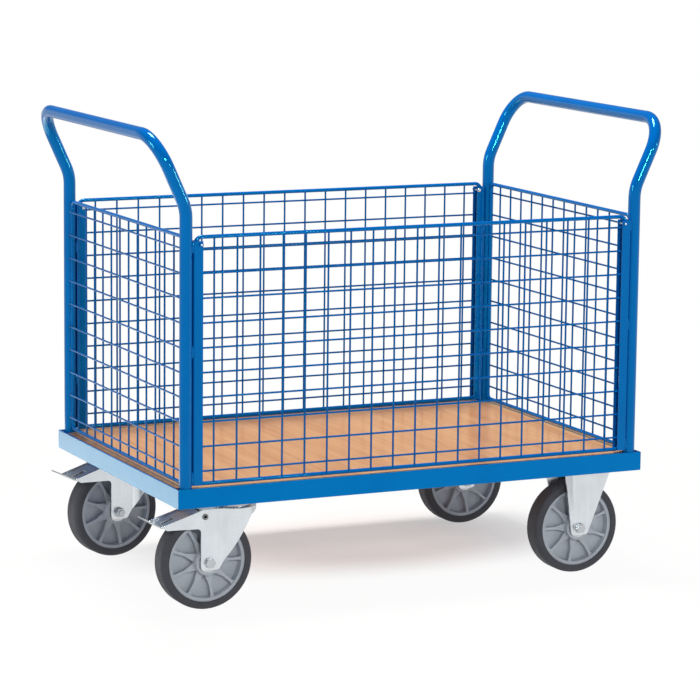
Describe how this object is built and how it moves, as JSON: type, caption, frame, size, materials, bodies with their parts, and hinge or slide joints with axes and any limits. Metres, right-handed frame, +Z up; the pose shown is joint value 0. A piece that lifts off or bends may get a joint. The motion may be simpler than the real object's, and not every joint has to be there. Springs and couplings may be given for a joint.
{
  "type": "mesh trolley",
  "caption": "Platform trolley with four welded wire mesh walls round a wooden deck, a push handle at each end, braked swivel castors at one end and fixed castors at the other.",
  "frame": {"origin": "on the ground under the middle of the platform", "axes": "+X along the long side from the swivel castors towards the fixed castors, +Z up, -Y the long side nearest the viewer in the picture"},
  "size_m": [1.178, 0.7, 0.987],
  "materials": {
    "blue_paint": "smooth gloss powder coat",
    "board": "smooth beech board",
    "zinc": "bright zinc plating",
    "bearing_steel": "ground steel",
    "wheel_moulding": "moulded grey plastic",
    "tyre": "dull dark rubber",
    "brake_pad": "dull rubber pad"
  },
  "bodies": {
    "trolley": {"castor_bolts": "zinc", "castor_nuts": "zinc", "deck_board": "board", "fixed_axles": "zinc", "fixed_sleeves": "bearing_steel", "front_fixed_fork": "zinc", "front_left_post": "blue_paint", "front_rail": "blue_paint", "front_right_post": "blue_paint", "front_wall_frame": "blue_paint", "front_wall_wires": "blue_paint", "kingpins": "bearing_steel", "left_bearer": "blue_paint", "left_handle": "blue_paint", "left_rail": "blue_paint", "left_wall_frame": "blue_paint", "left_wall_wires": "blue_paint", "lock_nuts": "blue_paint", "lock_screws": "zinc", "middle_bearer": "blue_paint", "rear_fixed_fork": "zinc", "rear_left_post": "blue_paint", "rear_rail": "blue_paint", "rear_right_post": "blue_paint", "rear_wall_frame": "blue_paint", "rear_wall_wires": "blue_paint", "right_bearer": "blue_paint", "right_handle": "blue_paint", "right_rail": "blue_paint", "right_wall_frame": "blue_paint", "right_wall_wires": "blue_paint", "swivel_plates": "zinc"},
    "front_swivel": {"front_swivel_fork": "zinc", "front_swivel_race": "bearing_steel", "front_swivel_axle": "zinc", "front_swivel_sleeve": "bearing_steel", "front_pedal_rivets": "zinc"},
    "front_pedal": {"front_brake_pedal": "zinc", "front_brake_shoe": "brake_pad"},
    "front_left_roller": {"front_left_wheel": "wheel_moulding", "front_left_tyre": "tyre", "front_left_bearings": "bearing_steel"},
    "front_right_roller": {"front_right_wheel": "wheel_moulding", "front_right_tyre": "tyre", "front_right_bearings": "bearing_steel"},
    "rear_swivel": {"rear_swivel_fork": "zinc", "rear_swivel_race": "bearing_steel", "rear_swivel_axle": "zinc", "rear_swivel_sleeve": "bearing_steel", "rear_pedal_rivets": "zinc"},
    "rear_pedal": {"rear_brake_pedal": "zinc", "rear_brake_shoe": "brake_pad"},
    "rear_left_roller": {"rear_left_wheel": "wheel_moulding", "rear_left_tyre": "tyre", "rear_left_bearings": "bearing_steel"},
    "rear_right_roller": {"rear_right_wheel": "wheel_moulding", "rear_right_tyre": "tyre", "rear_right_bearings": "bearing_steel"}
  },
  "joints": [
    {"name": "front_swivel_turn", "type": "hinge", "parent": "trolley", "child": "front_swivel", "pos_m": [-0.378, -0.265, 0.215], "axis": [0, 0, 1], "continuous": true},
    {"name": "front_pedal_press", "type": "hinge", "parent": "front_swivel", "child": "front_pedal", "pos_m": [-0.453, -0.265, 0.1965], "axis": [0, -1, 0], "range_deg": [0, 7]},
    {"name": "front_left_wheel_spin", "type": "hinge", "parent": "front_swivel", "child": "front_left_roller", "pos_m": [-0.443, -0.265, 0.1], "axis": [0, 1, 0], "continuous": true},
    {"name": "front_right_wheel_spin", "type": "hinge", "parent": "trolley", "child": "front_right_roller", "pos_m": [0.414, -0.265, 0.1], "axis": [0, 1, 0], "continuous": true},
    {"name": "rear_swivel_turn", "type": "hinge", "parent": "trolley", "child": "rear_swivel", "pos_m": [-0.378, 0.265, 0.215], "axis": [0, 0, 1], "continuous": true},
    {"name": "rear_pedal_press", "type": "hinge", "parent": "rear_swivel", "child": "rear_pedal", "pos_m": [-0.45252, 0.25651, 0.1965], "axis": [0.1132, -0.9936, 0], "range_deg": [0, 7]},
    {"name": "rear_left_wheel_spin", "type": "hinge", "parent": "rear_swivel", "child": "rear_left_roller", "pos_m": [-0.44258, 0.25764, 0.1], "axis": [-0.1132, 0.9936, 0], "continuous": true},
    {"name": "rear_right_wheel_spin", "type": "hinge", "parent": "trolley", "child": "rear_right_roller", "pos_m": [0.414, 0.265, 0.1], "axis": [0, 1, 0], "continuous": true}
  ]
}
